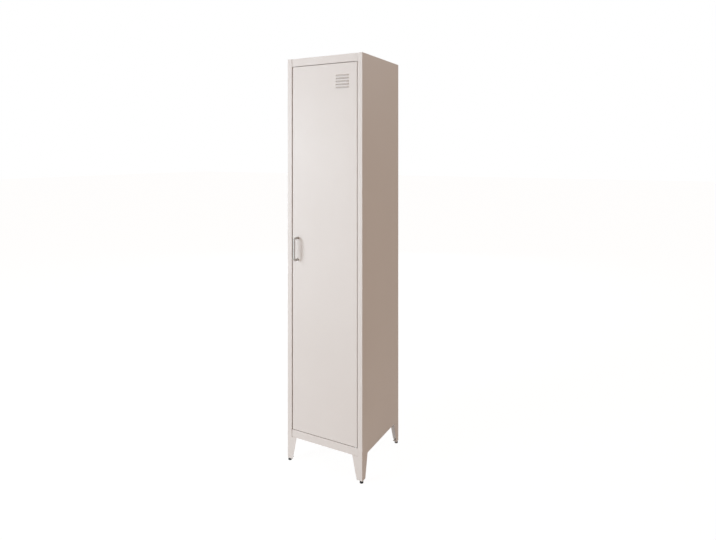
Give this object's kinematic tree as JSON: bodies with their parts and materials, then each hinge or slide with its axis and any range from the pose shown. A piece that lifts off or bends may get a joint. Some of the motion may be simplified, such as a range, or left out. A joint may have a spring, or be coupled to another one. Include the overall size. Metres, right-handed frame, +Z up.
{
  "type": "metal locker",
  "caption": "Tall narrow sheet-steel locker with one inset door, pressed vent louvres, a bow handle, a hat shelf and hanging rail, on tapered legs with levelling feet.",
  "frame": {"origin": "on the floor, under the middle of the locker's bounding box with its feet at rest", "axes": "+Z up, -Y out of the door's face, +X towards the hinge side, the right seen from the front"},
  "size_m": [0.38, 0.4049, 1.8],
  "materials": {
    "case_paint": "satin",
    "handle_metal": "satin",
    "zinc": "satin",
    "rail_chrome": "polished",
    "black_plastic": "matte",
    "nylon": "satin",
    "catch_plastic": "satin",
    "magnet": "matte",
    "buffer_rubber": "matte"
  },
  "bodies": {
    "case": {"back_panel": "case_paint", "back_screws": "zinc", "base_panel": "case_paint", "catch_housing": "catch_plastic", "catch_magnet": "magnet", "catch_poles": "zinc", "catch_screws": "zinc", "door_buffers": "buffer_rubber", "door_stop": "case_paint", "foot_collars": "black_plastic", "frame_screws": "zinc", "front_left_leg": "case_paint", "front_right_leg": "case_paint", "hanging_rail": "rail_chrome", "hat_shelf": "case_paint", "left_rail_socket": "catch_plastic", "left_shelf_bracket": "case_paint", "left_side_panel": "case_paint", "leg_nuts": "zinc", "leg_screws": "zinc", "lower_hinge_pin": "zinc", "rear_left_leg": "case_paint", "rear_right_leg": "case_paint", "right_rail_socket": "catch_plastic", "right_shelf_bracket": "case_paint", "right_side_panel": "case_paint", "shelf_screws": "zinc", "top_panel": "case_paint", "upper_hinge_pin": "zinc"},
    "door": {"door_skin": "case_paint", "door_stiffener": "case_paint", "door_handle": "handle_metal", "handle_screws": "zinc", "strike_plate": "zinc", "lower_hinge_bush": "nylon", "upper_hinge_bush": "nylon"},
    "front_left_leveller": {"front_left_foot": "black_plastic", "front_left_stud": "zinc"},
    "front_right_leveller": {"front_right_foot": "black_plastic", "front_right_stud": "zinc"},
    "rear_left_leveller": {"rear_left_foot": "black_plastic", "rear_left_stud": "zinc"},
    "rear_right_leveller": {"rear_right_foot": "black_plastic", "rear_right_stud": "zinc"}
  },
  "joints": [
    {"name": "door_hinge", "type": "hinge", "parent": "case", "child": "door", "pos_m": [0.1565, -0.1595, 0.954], "axis": [0, 0, 1], "range_deg": [0, 105]},
    {"name": "front_left_levelling", "type": "slide", "parent": "case", "child": "front_left_leveller", "axis": [0, 0, -1], "range_m": [-0.002, 0.012]},
    {"name": "front_right_levelling", "type": "slide", "parent": "case", "child": "front_right_leveller", "axis": [0, 0, -1], "range_m": [-0.002, 0.012]},
    {"name": "rear_left_levelling", "type": "slide", "parent": "case", "child": "rear_left_leveller", "axis": [0, 0, -1], "range_m": [-0.002, 0.012]},
    {"name": "rear_right_levelling", "type": "slide", "parent": "case", "child": "rear_right_leveller", "axis": [0, 0, -1], "range_m": [-0.002, 0.012]}
  ]
}
